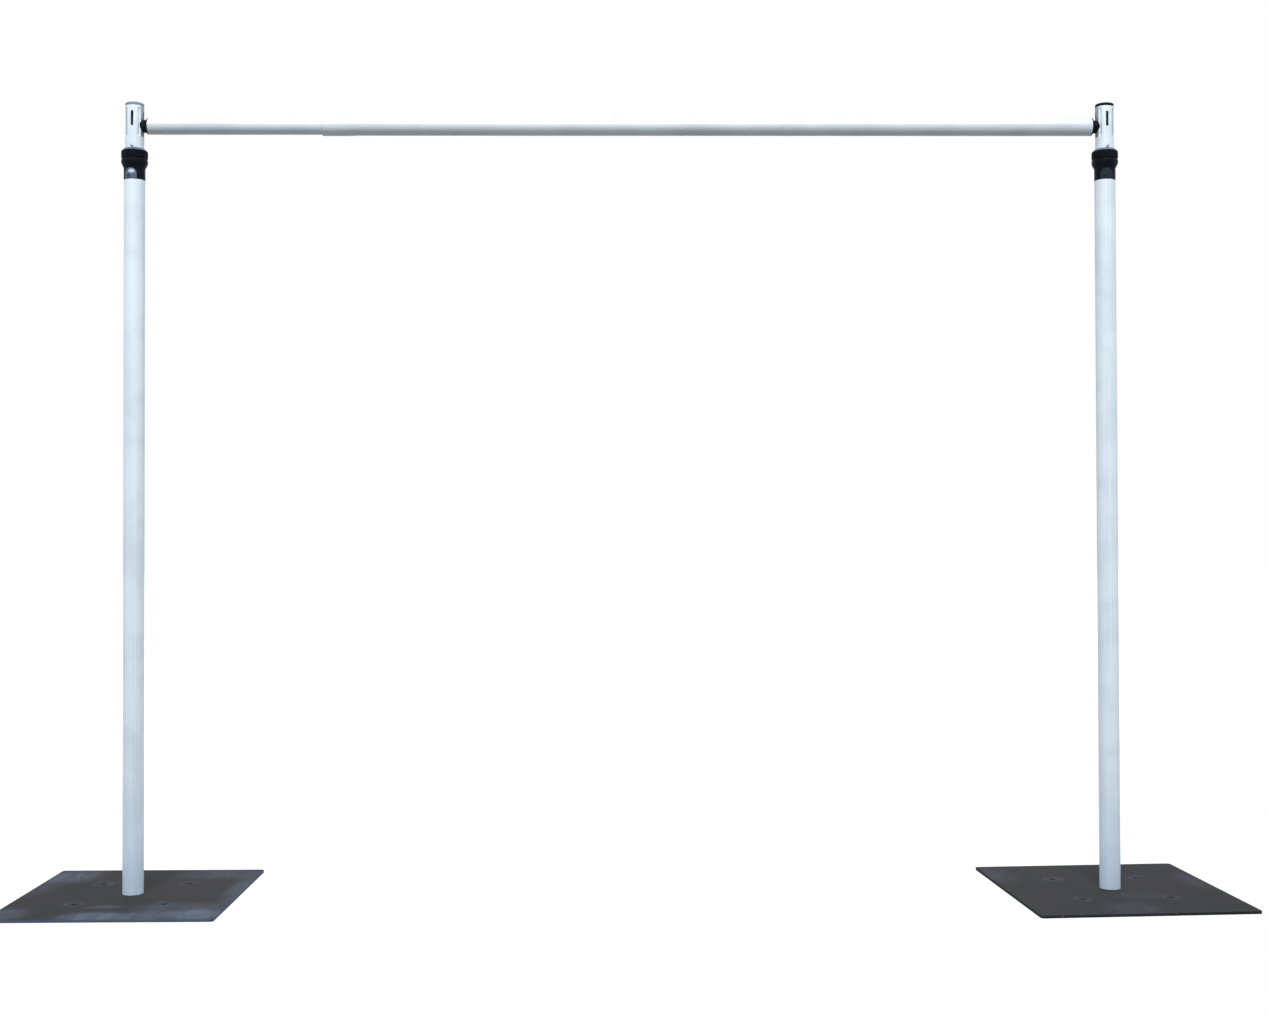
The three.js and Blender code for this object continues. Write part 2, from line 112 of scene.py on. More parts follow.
def separated(tree, points):
    node = tree.nodes.new("ShaderNodeSeparateXYZ")
    tree.links.new(points, node.inputs["Vector"])
    return [node.outputs[axis] for axis in "XYZ"]


def noise(tree, points, scale=1, detail=3, roughness=0.5, distortion=0):
    texture = tree.nodes.new("ShaderNodeTexNoise")
    texture.inputs["Scale"].default_value = scale
    texture.inputs["Detail"].default_value = detail
    texture.inputs["Roughness"].default_value = roughness
    texture.inputs["Distortion"].default_value = distortion
    tree.links.new(points, texture.inputs["Vector"])
    return texture.outputs["Fac"]


def ramp(tree, value, low, high, start=0.0, end=1.0, unit=1):
    # value from low to high becomes start to end, softly at both ends
    node = tree.nodes.new("ShaderNodeMapRange")
    node.interpolation_type = "SMOOTHSTEP"
    node.inputs["From Min"].default_value = low * unit
    node.inputs["From Max"].default_value = high * unit
    node.inputs["To Min"].default_value = start
    node.inputs["To Max"].default_value = end
    tree.links.new(value, node.inputs["Value"])
    return node.outputs["Result"]


def blendColors(tree, factor, first, second):
    # first and second are colours or sockets
    node = tree.nodes.new("ShaderNodeMix")
    node.data_type = "RGBA"
    tree.links.new(factor, node.inputs[0])
    for socket, color in ((node.inputs[6], first), (node.inputs[7], second)):
        if isinstance(color, str):
            socket.default_value = linear(color)
        else:
            tree.links.new(color, socket)
    return node.outputs[2]


def calculate(tree, operation, *values):
    # values are numbers or sockets
    node = tree.nodes.new("ShaderNodeMath")
    node.operation = operation
    for socket, value in zip(node.inputs, values):
        if isinstance(value, (int, float)):
            socket.default_value = value
        else:
            tree.links.new(value, socket)
    return node.outputs[0]


def product(tree, first, *others):
    for other in others:
        first = calculate(tree, "MULTIPLY", first, other)
    return first


def lengthOf(tree, vector):
    node = tree.nodes.new("ShaderNodeVectorMath")
    node.operation = "LENGTH"
    tree.links.new(vector, node.inputs[0])
    return node.outputs["Value"]


def flatLength(tree, first, second):
    # length of a vector with two parts
    node = tree.nodes.new("ShaderNodeCombineXYZ")
    tree.links.new(first, node.inputs["X"])
    tree.links.new(second, node.inputs["Y"])
    return lengthOf(tree, node.outputs["Vector"])


def blot(tree, sockets, centre, size):
    # distance from a centre in a plane, 1 at the rim of the size
    parts = [
        calculate(tree, "DIVIDE", calculate(tree, "SUBTRACT", socket, middle * mm), half * mm)
        for socket, middle, half in zip(sockets, centre, size)
    ]
    return flatLength(tree, *parts)


def bump(tree, shader, height, depth, strength):
    node = tree.nodes.new("ShaderNodeBump")
    node.inputs["Strength"].default_value = strength
    node.inputs["Distance"].default_value = depth * mm
    tree.links.new(height, node.inputs["Height"])
    tree.links.new(node.outputs["Normal"], shader.inputs["Normal"])


def uprightAxis(side):
    low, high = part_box(side + "_outer_tube")
    return (low.x + high.x) / 2


satinValues = {
    "upright": {"bright": "#e4f1fb", "dull": "#d3e2ed"},
    "bar": {"bright": "#d6e1e8", "dull": "#c9d3da"},
    "metallic": 0.12,
    "specular": 0.3,
    # marks along the tube: their width, length and detail
    "lines": (0.5, 120, 2),
    "bands": (6, 900, 3),
    "scuffs": (1.2, 14, 2),
    "patches": {"scale": 9, "detail": 4, "roughness": 0.6, "distortion": 0.4},
    "bandShare": 0.7,
    "patchTone": (0.35, 0.7, 0, 0.3),
    "tone": (0.3, 0.75),
    "scuffed": (0.68, 0.74),
    "scuffedPatches": (0.5, 0.62),
    "scuffShare": (0, 1, 0, 0.35),
    "scuffColor": "#b9c3cc",
    "lineRoughness": (0.3, 0.7, 0.36, 0.46),
    "lineDepth": 0.004,
    "lineStrength": 0.5,
    # painted shade in the head's flutes: by distance from the upright's axis, and weaker towards
    # the bar
    "pressedColor": "#7a8fab",
    "pressed": (19.4, 21.42, 0.9, 0),
    "pressedInward": (4, 12, 1, 0.25),
    # painted shade along the head's inner side, in patches, and its height above the floor
    "innerShadeColor": "#767c85",
    "innerShadeInward": (16.5, 19.2),
    "innerShadeHeight": (1775, 1779),
    "innerShadePatches": (0.3, 0.6, 0.7, 0.95),
    # painted shade: the tube is bluer and darker near the floor
    "footShadeColor": "#bdd5f0",
    "footShadeHeight": (340, 20, 0, 0.45),
}


def uprightPaintedShade(tree, color, patches, axis, values):
    # painted shade: darker in the flutes, darker along the head's inner side and bluer near the
    # floor
    x, y, z = separated(tree, objectPoints(tree, centre=(axis, 0, 0)))
    inward = calculate(tree, "MULTIPLY", x, -1 if axis > 0 else 1)
    pressed = product(tree, ramp(tree, flatLength(tree, x, y), *values["pressed"], unit=mm),
                      ramp(tree, inward, *values["pressedInward"], unit=mm))
    # painted shade, darker in the flutes
    color = blendColors(tree, pressed, color, values["pressedColor"])
    innerShade = product(tree, ramp(tree, inward, *values["innerShadeInward"], unit=mm),
                     ramp(tree, z, *values["innerShadeHeight"], unit=mm),
                     ramp(tree, patches, *values["innerShadePatches"]))
    # painted shade along the head's inner side
    color = blendColors(tree, innerShade, color, values["innerShadeColor"])
    footShade = ramp(tree, z, *values["footShadeHeight"], unit=mm)
    # painted shade, bluer and darker near the floor
    return blendColors(tree, footShade, color, values["footShadeColor"])


def satinAluminium(name, piece, along, values, axis=None):
    # clear anodised tube: drawing lines along it, soft tonal bands, dull handled patches
    own = values[piece]
    material, tree, shader = newMaterial(name)

    def streaks(width, length, detail):
        scale = [1 / (width * mm)] * 3
        scale[along] = 1 / (length * mm)
        return noise(tree, objectPoints(tree, scale), detail=detail)

    lines, bands, scuffs = (streaks(*values[kind]) for kind in ("lines", "bands", "scuffs"))
    patches = noise(tree, objectPoints(tree), **values["patches"])
    tone = calculate(tree, "MULTIPLY_ADD", bands, values["bandShare"],
                     ramp(tree, patches, *values["patchTone"]))
    color = blendColors(tree, ramp(tree, tone, *values["tone"]), own["bright"], own["dull"])
    worn = product(tree, ramp(tree, scuffs, *values["scuffed"]),
                   ramp(tree, patches, *values["scuffedPatches"]))
    worn = ramp(tree, worn, *values["scuffShare"])
    color = blendColors(tree, worn, color, values["scuffColor"])
    # on the uprights, painted shade on top of the film's own marks
    if axis is not None:
        color = uprightPaintedShade(tree, color, patches, axis, values)
    tree.links.new(color, shader.inputs["Base Color"])
    tree.links.new(ramp(tree, lines, *values["lineRoughness"]), shader.inputs["Roughness"])
    shader.inputs["Metallic"].default_value = values["metallic"]
    shader.inputs["Specular IOR Level"].default_value = values["specular"]
    bump(tree, shader, lines, values["lineDepth"], values["lineStrength"])
    return material


# The plates' shape, which their coat needs too

plateShape = {
    "side": 500,
    "cornerRadius": 8,
    "cornerSegments": 10,
    "edge": 0.6,
    "dishSpacing": 205,
    "dishRadius": 19.5,
    "dishFloor": 8.5,
    "dishDepth": 1.6,
    "floorRounding": 2,
    "holeRadius": 5,
    "holeEdge": 0.4,
    "boltHead": 8.3,
    "boltHole": 4.3,
    "boltSink": 4.2,
    "steps": 64,
}

plateValues = {
    "left": {
        "turn": 0,
        # the rim: a pale bluish painted highlight on this plate's edges
        "rimLightShadeColor": "#62708a",
        # smudges: place, half width and half depth, strength
        "smudges": [
            (-205, 185, 85, 95, 0.55),
            (-235, 60, 50, 120, 0.22),
            (165, 200, 130, 75, 0.3),
            (250, 40, 48, 190, 0.42),
            (-15, -222, 95, 55, 0.9),
            (95, -225, 80, 60, 0.5),
            (205, -212, 85, 60, 0.85),
            (150, -150, 150, 70, 0.3),
            (-235, -205, 75, 80, 0.5),
            (-24, -133, 50, 22, 0.45),
        ],
    },
    "right": {
        "turn": radians(3.4),
        # the rim: painted shade on this plate's edges
        "rimLightShadeColor": "#26282c",
        "smudges": [
            (-225, 150, 55, 110, 0.2),
            (228, 60, 40, 120, 0.16),
            (-20, -200, 90, 75, 0.22),
            (30, -80, 90, 60, 0.1),
        ],
    },
    "coat": "#3d3c3f",
    "coatDark": "#393a3c",
    "clouds": {"scale": 5, "detail": 4, "roughness": 0.55, "distortion": 0.6},
    "cloudTone": (0.35, 0.65),
    "smudgeColor": "#5b6779",
    "smudgeFade": (1.15, 0.25),
    "wipeStretch": (26, 9, 9),
    "wipes": {"detail": 5, "roughness": 0.62, "distortion": 0.8},
    "wipeTone": (0.36, 0.66, 0.6, 1.1),
    # painted highlight on the slope round a dish, grainy, its radius 1 at the reach
    "dishSheenColor": "#566170",
    "dishSheenReach": 20,
    "dishSheenOutside": (1.5, 1.0),
    "dishSheenInside": (0.35, 0.75),
    "dishSheenGrains": {"scale": 70, "detail": 3},
    "dishSheenTone": (0.4, 0.65, 0.05, 0.35),
    # from the plate's edge inwards, where the rim's painted light and shade starts and is full;
    # the chips lie there too
    "rimInset": (1.4, 0.4),
    "rimLightShadeShare": 0.6,
    "chipColor": "#7c8188",
    "chips": {"scale": 160, "detail": 3, "roughness": 0.7},
    "chipTone": (0.58, 0.68, 0, 0.6),
    "specular": 0.02,
    "smudgeRoughness": (0, 0.6, 0.66, 0.5),
    "peelSize": 1.4,
    "peelDepth": 0.02,
    "peelStrength": 0.6,
}


def plateCoat(side, centre, shape, values):
    # black powder coat: orange peel, wiped smudges, a painted highlight round the dishes, painted
    # light and shade along the rim, chipped edges
    own = values[side]
    material, tree, shader = newMaterial(side + "PlateCoat")
    points = objectPoints(tree, centre=centre, turn=own["turn"])
    peel = noise(tree, points, 1 / (values["peelSize"] * mm), detail=2)
    clouds = noise(tree, points, **values["clouds"])
    wipes = noise(tree, objectPoints(tree, values["wipeStretch"], centre, own["turn"]),
                  **values["wipes"])
    x, y, _ = separated(tree, points)
    across, deep = calculate(tree, "ABSOLUTE", x), calculate(tree, "ABSOLUTE", y)
    start, full = (shape["side"] / 2 - inset for inset in values["rimInset"])
    rim = ramp(tree, calculate(tree, "MAXIMUM", across, deep), start, full, unit=mm)
    chips = product(tree, rim, ramp(tree, noise(tree, points, **values["chips"]),
                                    *values["chipTone"]))
    ring = blot(tree, (across, deep), (shape["dishSpacing"] / 2,) * 2, (values["dishSheenReach"],) * 2)
    paintedSheen = product(tree, ramp(tree, ring, *values["dishSheenOutside"]),
                   ramp(tree, ring, *values["dishSheenInside"]),
                   ramp(tree, noise(tree, points, **values["dishSheenGrains"]), *values["dishSheenTone"]))
    smudge = None
    for *middle, width, depth, strength in own["smudges"]:
        away = blot(tree, (x, y), middle, (width, depth))
        spot = ramp(tree, away, *values["smudgeFade"], 0, strength)
        smudge = spot if smudge is None else calculate(tree, "ADD", smudge, spot)
    smudge = product(tree, smudge, ramp(tree, wipes, *values["wipeTone"]))
    color = blendColors(tree, ramp(tree, clouds, *values["cloudTone"]),
                        values["coat"], values["coatDark"])
    color = blendColors(tree, smudge, color, values["smudgeColor"])
    # painted highlight on the slopes round the dishes
    color = blendColors(tree, paintedSheen, color, values["dishSheenColor"])
    # painted light and shade along the rim: a highlight on the left plate, shade on the right
    color = blendColors(tree, product(tree, rim, values["rimLightShadeShare"]), color, own["rimLightShadeColor"])
    color = blendColors(tree, chips, color, values["chipColor"])
    tree.links.new(color, shader.inputs["Base Color"])
    tree.links.new(ramp(tree, smudge, *values["smudgeRoughness"]), shader.inputs["Roughness"])
    shader.inputs["Specular IOR Level"].default_value = values["specular"]
    bump(tree, shader, peel, values["peelDepth"], values["peelStrength"])
    return material


plasticValues = {
    "blackNylon": {
        "color": "#0e131b", "pale": "#1c222c", "roughness": (0.4, 0.52), "specular": 0.06,
    },
    "gripNylon": {
        "color": "#0c1017", "pale": "#181d26", "roughness": (0.46, 0.6), "specular": 0.05,
    },
    "leftCapPlastic": {
        "color": "#848b95", "pale": "#9ca4ae", "roughness": (0.5, 0.62), "specular": 0.3,
    },
    "rightCapPlastic": {
        "color": "#161c26", "pale": "#222935", "roughness": (0.5, 0.62), "specular": 0.02,
    },
    "greyPlastic": {
        "color": "#6c7480", "pale": "#7d8590", "roughness": (0.5, 0.62), "specular": 0.3,
    },
    "patches": {"scale": 45, "detail": 4, "roughness": 0.6, "distortion": 0.5},
    "patchTone": (0.4, 0.8, 0, 0.35),
    "patchRoughness": (0.3, 0.7),
    "scratchStretch": (900, 900, 120),
    "scratched": (0.58, 0.72, 0, 0.5),
    "scratchedPatches": (0.4, 0.7),
    "grainSize": 0.7,
    "grain": {"detail": 2, "roughness": 0.6},
    "grainDepth": 0.012,
    "grainStrength": 0.5,
}


def mouldedPlastic(name, values, paint=None, kind=None):
    # moulded plastic: spark-eroded grain, faint scuffs and dust in patches
    own = values[kind or name]
    material, tree, shader = newMaterial(name)
    points = objectPoints(tree)
    grain = noise(tree, points, 1 / (values["grainSize"] * mm), **values["grain"])
    patches = noise(tree, points, **values["patches"])
    scratches = noise(tree, objectPoints(tree, values["scratchStretch"]), detail=2)
    pale = product(tree, ramp(tree, scratches, *values["scratched"]),
                   ramp(tree, patches, *values["scratchedPatches"]))
    color = blendColors(tree, ramp(tree, patches, *values["patchTone"]), own["color"], own["pale"])
    color = blendColors(tree, pale, color, own["pale"])
    if paint:
        color = paint(tree, color)
    tree.links.new(color, shader.inputs["Base Color"])
    tree.links.new(ramp(tree, patches, *values["patchRoughness"], *own["roughness"]),
                   shader.inputs["Roughness"])
    shader.inputs["Specular IOR Level"].default_value = own["specular"]
    bump(tree, shader, grain, values["grainDepth"], values["grainStrength"])
    return material


linerLength = 40  # how far a lock's liner reaches down into the tube, from the skirt's foot

# plain arched field on the front of a lock's skirt, measured from the skirt's foot
fieldShape = {
    "half": 14.6,
    "foot": 1.6,
    "top": 26.6,
    # field tones: on the left lock a pale bluish painted reflection with a painted highlight, on
    # the right a little paler than the body
    "left": {"turn": -8, "color": "#61708a", "dull": "#3f3f44", "paintedGlint": "#c3d4e8"},
    "right": {"turn": -5, "color": "#2b333f", "dull": "#22272f"},
    "front": (-4, -8),
    "archFade": (1.0, 0.94),
    "footFade": 0.5,
    "wear": {"scale": 90, "detail": 3, "roughness": 0.6, "distortion": 0.4},
    "wearTone": (0.42, 0.62, 0, 0.3),
    # a painted highlight on the left field, and a dull place beside it
    "paintedGlintPlace": (2.6, 18.2),
    "paintedGlintHalf": (7.6, 4.8),
    "paintedGlintFade": (1.1, 0.8),
    "dullPlace": (-4.6, 7),
    "dullHalf": (6, 4.6),
    "dullFade": (1.3, 0.5),
    # the tool that sinks the field into the skirt
    "archSteps": 24,
    "toolFront": -45,
    "toolDepth": 40,
    "coreFoot": -10,
    "coreTop": 60,
    "coreSteps": 192,
}


def fieldPaint(side, shape):
    # the field's tone, a pale painted reflection on the left lock, and there a painted highlight
    # as well
    own = shape[side]

    def paint(tree, color):
        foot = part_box(side + "_lock_body")[0].z + linerLength * mm
        centre = (uprightAxis(side), 0, foot)
        points = objectPoints(tree, centre=centre, turn=radians(own["turn"]))
        x, y, z = separated(tree, points)

        def patch(part):
            away = blot(tree, (x, z), shape[part + "Place"], shape[part + "Half"])
            return ramp(tree, away, *shape[part + "Fade"])

        front = ramp(tree, y, *shape["front"], unit=mm)
        above = calculate(tree, "SUBTRACT", z, (shape["top"] - shape["half"]) * mm)
        above = calculate(tree, "MAXIMUM", above, 0)
        arch = blot(tree, (x, above), (0, 0), (shape["half"],) * 2)
        field = product(tree, ramp(tree, arch, *shape["archFade"]),
                        ramp(tree, z, shape["foot"], shape["foot"] + shape["footFade"], unit=mm),
                        front)
        worn = ramp(tree, noise(tree, points, **shape["wear"]), *shape["wearTone"])
        worn = calculate(tree, "MAXIMUM", worn, patch("dull"))
        # the field: a pale painted reflection on the left lock, duller in patches
        color = blendColors(tree, field, color,
                            blendColors(tree, worn, own["color"], own["dull"]))
        # painted highlight on the left field
        if "paintedGlint" in own:
            color = blendColors(tree, product(tree, patch("paintedGlint"), front), color, own["paintedGlint"])
        return color

    return paint


# painted highlight on the sloping top of the lock rings, in patches, down to this height under
# their top
bevelSheen = {
    "color": "#66748b",
    "height": 6.8,
    "fade": 2,
    "patches": {"scale": 110, "detail": 3},
    "patchTone": (0.3, 0.65, 0.6, 1),
}


def bevelPaint(values):
    def paint(tree, color):
        points = objectPoints(tree)
        _, _, z = separated(tree, points)
        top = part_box("left_lock_ring")[1].z / mm
        foot = top - values["height"]
        # the ring's sloping top painted paler, in patches: a painted highlight
        paintedSheen = product(tree, ramp(tree, z, foot, foot + values["fade"], unit=mm),
                       ramp(tree, noise(tree, points, **values["patches"]), *values["patchTone"]))
        return blendColors(tree, paintedSheen, color, values["color"])

    return paint


zincValues = {
    "bright": "#a6b2c1",
    "dull": "#7c899b",
    "metallic": 0.9,
    "clouds": {"scale": 220, "detail": 4, "roughness": 0.6},
    "cloudTone": (0.35, 0.65),
    "cloudRoughness": (0.3, 0.7, 0.25, 0.45),
    "lineStretch": (3000, 400, 400),
    "lineDepth": 0.005,
    "lineStrength": 0.4,
}


def zincSteel(name, values):
    # zinc plated steel: cloudy passivated patches with fine grinding lines
    material, tree, shader = newMaterial(name)
    clouds = noise(tree, objectPoints(tree), **values["clouds"])
    lines = noise(tree, objectPoints(tree, values["lineStretch"]), detail=2)
    color = blendColors(tree, ramp(tree, clouds, *values["cloudTone"]),
                        values["bright"], values["dull"])
    tree.links.new(color, shader.inputs["Base Color"])
    tree.links.new(ramp(tree, clouds, *values["cloudRoughness"]), shader.inputs["Roughness"])
    shader.inputs["Metallic"].default_value = values["metallic"]
    bump(tree, shader, lines, values["lineDepth"], values["lineStrength"])
    return material


finishes = {
    "barTube": satinAluminium("barTube", "bar", 0, satinValues),
    "blackNylon": mouldedPlastic("blackNylon", plasticValues),
    "gripNylon": mouldedPlastic("gripNylon", plasticValues, bevelPaint(bevelSheen)),
    "greyPlastic": mouldedPlastic("greyPlastic", plasticValues),
    "leftCap": mouldedPlastic("leftCapPlastic", plasticValues),
    "rightCap": mouldedPlastic("rightCapPlastic", plasticValues),
    "zinc": zincSteel("zincPlate", zincValues),
}
for side in sides:
    axis = uprightAxis(side)
    finishes[side + "Tube"] = satinAluminium(side + "Tube", "upright", 2, satinValues, axis)
    finishes[side + "Lock"] = mouldedPlastic(side + "LockNylon", plasticValues,
                                             fieldPaint(side, fieldShape), "blackNylon")
    finishes[side + "Plate"] = plateCoat(side, (axis, 0, 0), plateShape, plateValues)
print("materials:", len(finishes))


# Modelling

meshValues = {
    "weld": 0.001,
    "sliver": 0.0001,
    "edgeSegments": 2,
    "edgeAngle": 35,
    # how far a cutting tool reaches past the surface
    "over": 1,
}


def lathe(profile, steps=128, rounds=3):
    # profile rows are radius, height and corner rounding; it is spun round the Z axis
    bm = bmesh.new()
    corners = [bm.verts.new((radius * mm, 0, height * mm)) for radius, height, _ in profile]
    for i, corner in enumerate(corners):
        if profile[i][0] or profile[i - 1][0]:
            bm.edges.new((corners[i - 1], corner))
    for corner, (_, _, rounding) in zip(corners, profile):
        if rounding:
            bmesh.ops.bevel(bm, geom=[corner], offset=rounding * mm, offset_type="OFFSET",
                            segments=rounds, profile=0.5, affect="VERTICES", material=-1)
    return spun(bm, steps)


def spun(bm, steps):
    bmesh.ops.spin(bm, geom=bm.verts[:] + bm.edges[:], cent=(0, 0, 0), axis=(0, 0, 1),
                   angle=2 * pi, steps=steps, use_merge=True)
    return closed(bm)


def rod(radius, low, high, steps):
    return lathe([(0, low, 0), (radius, low, 0), (radius, high, 0), (0, high, 0)], steps)


def prism(outline, front, depth):
    # an outline in x and z, made thick towards the back
    bm = bmesh.new()
    face = bm.faces.new([bm.verts.new((x * mm, front * mm, z * mm)) for x, z in outline])
    extruded = bmesh.ops.extrude_face_region(bm, geom=[face])
    back = [v for v in extruded["geom"] if isinstance(v, bmesh.types.BMVert)]
    bmesh.ops.translate(bm, vec=(0, depth * mm, 0), verts=back)
    return closed(bm)


def block(width, depth, height):
    bm = bmesh.new()
    bmesh.ops.create_cube(bm, size=1)
    bmesh.ops.scale(bm, vec=(width * mm, depth * mm, height * mm), verts=bm.verts[:])
    return bm


def closed(bm):
    bmesh.ops.remove_doubles(bm, verts=bm.verts[:], dist=meshValues["weld"] * mm)
    bmesh.ops.dissolve_degenerate(bm, edges=bm.edges[:], dist=meshValues["sliver"] * mm)
    bmesh.ops.recalc_face_normals(bm, faces=bm.faces[:])
    return bm


def moved(bm, matrix):
    bmesh.ops.transform(bm, matrix=matrix, verts=bm.verts[:])
    return bm


def place(x=0, y=0, z=0):
    return Matrix.Translation((x * mm, y * mm, z * mm))


def sineOf(cosine):
    return max(1 - cosine * cosine, 0) ** 0.5


def linked(bm, name):
    mesh = bpy.data.meshes.new(name)
    bm.to_mesh(mesh)
    bm.free()
    thing = bpy.data.objects.new(name, mesh)
    bpy.context.scene.collection.objects.link(thing)
    return thing


def carved(bm, tools):
    # the shape without the tools
    body = linked(bm, "body")
    cutters = [linked(tool, "cutter") for tool in tools]
    for cutter in cutters:
        modifier = body.modifiers.new("cut", "BOOLEAN")
        modifier.operation = "DIFFERENCE"
        modifier.solver = "EXACT"
        modifier.object = cutter
    result = bmesh.new()
    result.from_object(body, bpy.context.evaluated_depsgraph_get())
    for thing in [body, *cutters]:
        mesh = thing.data
        bpy.data.objects.remove(thing)
        bpy.data.meshes.remove(mesh)
    return closed(result)


bodyOf = {
    node: body
    for body, nodes in frame["record"]["behaviour"]["bodies"].items() for node in nodes
}


def addPiece(name, bm, finish, node, edge=0.0):
    # edge is the width of a bevel on the sharp edges that the shape still has
    piece = linked(bm, name)
    piece.data.shade_smooth()
    piece.data.materials.append(finishes[finish])
    if edge:
        modifier = piece.modifiers.new("edges", "BEVEL")
        modifier.width = edge * mm
        modifier.segments = meshValues["edgeSegments"]
        modifier.limit_method = "ANGLE"
        modifier.angle_limit = radians(meshValues["edgeAngle"])
    normals = piece.modifiers.new("normals", "WEIGHTED_NORMAL")
    normals.keep_sharp = True
    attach(piece, bodyOf[node])
    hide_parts(node)


def boxOf(node):
    low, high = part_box(node)
    return low / mm, high / mm


# Base plates

def basePlate(side, shape):
    low, high = boxOf(side + "_base_plate")
    thickness = high.z - low.z
    over = meshValues["over"]
    slab = moved(block(shape["side"], shape["side"], thickness), place(z=thickness / 2))
    upright = [edge for edge in slab.edges
               if abs(edge.verts[0].co.z - edge.verts[1].co.z) > thickness * mm / 2]
    bmesh.ops.bevel(slab, geom=upright, offset=shape["cornerRadius"] * mm, offset_type="OFFSET",
                    segments=shape["cornerSegments"], profile=0.5, affect="EDGES", material=-1)
    floor = thickness - shape["dishDepth"]
    slope = shape["dishDepth"] / (shape["dishRadius"] - shape["dishFloor"])
    reach = 2 * over
    tools = []
    for across in (-1, 1):
        for deep in (-1, 1):
            dish = lathe([
                (0, -over, 0),
                (shape["holeRadius"], -over, 0),
                (shape["holeRadius"], floor, shape["holeEdge"]),
                (shape["dishFloor"], floor, shape["floorRounding"]),
                (shape["dishRadius"] + reach, thickness + slope * reach, 0),
                (shape["dishRadius"] + reach, thickness + reach, 0),
                (0, thickness + reach, 0),
            ], shape["steps"])
            middle = shape["dishSpacing"] / 2
            tools.append(moved(dish, place(across * middle, deep * middle)))
    sink = (shape["boltHead"] - shape["boltHole"]) / shape["boltSink"] * over
    tools.append(lathe([
        (0, -over, 0),
        (shape["boltHead"] + sink, -over, 0),
        (shape["boltHole"], shape["boltSink"], 0),
        (shape["boltHole"], thickness + over, 0),
        (0, thickness + over, 0),
    ], shape["steps"]))
    plate = carved(slab, tools)
    moved(plate, Matrix.Rotation(plateValues[side]["turn"], 4, "Z"))
    moved(plate, place(uprightAxis(side) / mm))
    addPiece(side + "Plate", plate, side + "Plate", side + "_base_plate", shape["edge"])


for side in sides:
    basePlate(side, plateShape)
print("base plates")


# Uprights: outer tubes

uprightShape = {"bore": 22.7, "lip": 0.35, "steps": 160}


def plainTube(bore, radius, low, high, lip, steps):
    return lathe([(bore, low, lip), (radius, low, lip), (radius, high, lip), (bore, high, lip)],
                 steps)


def outerTube(side, shape):
    low, high = boxOf(side + "_outer_tube")
    radius = (high.x - low.x) / 2
    tube = plainTube(shape["bore"], radius, low.z, high.z, shape["lip"], shape["steps"])
    moved(tube, place(uprightAxis(side) / mm))
    addPiece(side + "OuterTube", tube, side + "Tube", side + "_outer_tube")


for side in sides:
    outerTube(side, uprightShape)
print("outer tubes")


# Locks: body with a flush skirt and a flared lobe, and the ring that turns on it

lockShape = {
    "linerBore": 21.75,
    "linerRadius": 22.45,
    "linerEdge": 0.15,
    "skirtRadius": 24.4,
    "skirtEdge": 0.5,
    "skirtHeight": 28,
    "skirtRounding": 2,
    "lobeRadius": 30.3,
    "lobeStart": 40,
    "lobeEnd": 46.5,
    "lobeRounding": 2.4,
    "lobeEdge": 0.5,
    "waistRadius": 28.6,
    "waist": 49.5,
    "neckRadius": 25.85,
    "neckTop": 58.5,
    "neckEdge": 0.3,
    "pocketRadius": 23.45,
    "pocketFloor": 52.5,
    "pocketEdge": 0.2,
    "pocketLip": 0.1,
    "fieldRadius": 24.05,
    "steps": 160,
    "rounds": 5,
    "edge": 0.25,
}


def archPanel(shape, radius):
    # an arched tool that sinks the plain field into the front of the skirt
    half, spring = shape["half"], shape["top"] - shape["half"]
    outline = [(-half, shape["foot"]), (half, shape["foot"])]
    for i in range(shape["archSteps"] + 1):
        angle = i / shape["archSteps"] * pi
        outline.append((half * cos(angle), spring + half * sin(angle)))
    arch = prism(outline, shape["toolFront"], shape["toolDepth"])
    return carved(arch, [rod(radius, shape["coreFoot"], shape["coreTop"], shape["coreSteps"])])


def lockBody(side, shape):
    low, _ = boxOf(side + "_lock_body")
    body = lathe([
        (shape["linerBore"], -linerLength, shape["linerEdge"]),
        (shape["linerRadius"], -linerLength, shape["linerEdge"]),
        (shape["linerRadius"], 0, 0),
        (shape["skirtRadius"], 0, shape["skirtEdge"]),
        (shape["skirtRadius"], shape["skirtHeight"], shape["skirtRounding"]),
        (shape["lobeRadius"], shape["lobeStart"], shape["lobeRounding"]),
        (shape["lobeRadius"], shape["lobeEnd"], shape["lobeEdge"]),
        (shape["waistRadius"], shape["waist"], shape["neckEdge"]),
        (shape["neckRadius"], shape["waist"], 0),
        (shape["neckRadius"], shape["neckTop"], shape["neckEdge"]),
        (shape["pocketRadius"], shape["neckTop"], shape["pocketEdge"]),
        (shape["pocketRadius"], shape["pocketFloor"], 0),
        (shape["linerBore"], shape["pocketFloor"], shape["pocketLip"]),
    ], shape["steps"], shape["rounds"])
    turn = Matrix.Rotation(radians(fieldShape[side]["turn"]), 4, "Z")
    body = carved(body, [moved(archPanel(fieldShape, shape["fieldRadius"]), turn)])
    moved(body, place(uprightAxis(side) / mm, z=low.z + linerLength))
    addPiece(side + "LockBody", body, side + "Lock", side + "_lock_body", shape["edge"])


ringShape = {
    "neckBore": 26.15,
    "neckEdge": 0.25,
    "waistRadius": 28.6,
    "waistEdge": 0.3,
    "radius": 30.3,
    "waistHeight": 3,
    "sideEdge": 0.6,
    "bevelStart": 17.7,
    "shoulderRounding": 1.4,
    "topRadius": 23.3,
    "topRounding": 0.8,
    "height": 24.7,
    "lipBore": 21.8,
    "lipEdge": 0.3,
    "lipFloor": 22.3,
    "coneTop": 23.45,
    "coneFoot": 15.3,
    "rounds": 4,
    "grooves": 16,
    "grooveRadius": 4,
    "grooveDepth": 0.8,
    "stepsPerGroove": 24,
    # nothing nearer to the axis is moved for the grooves
    "solidRadius": 27,
}


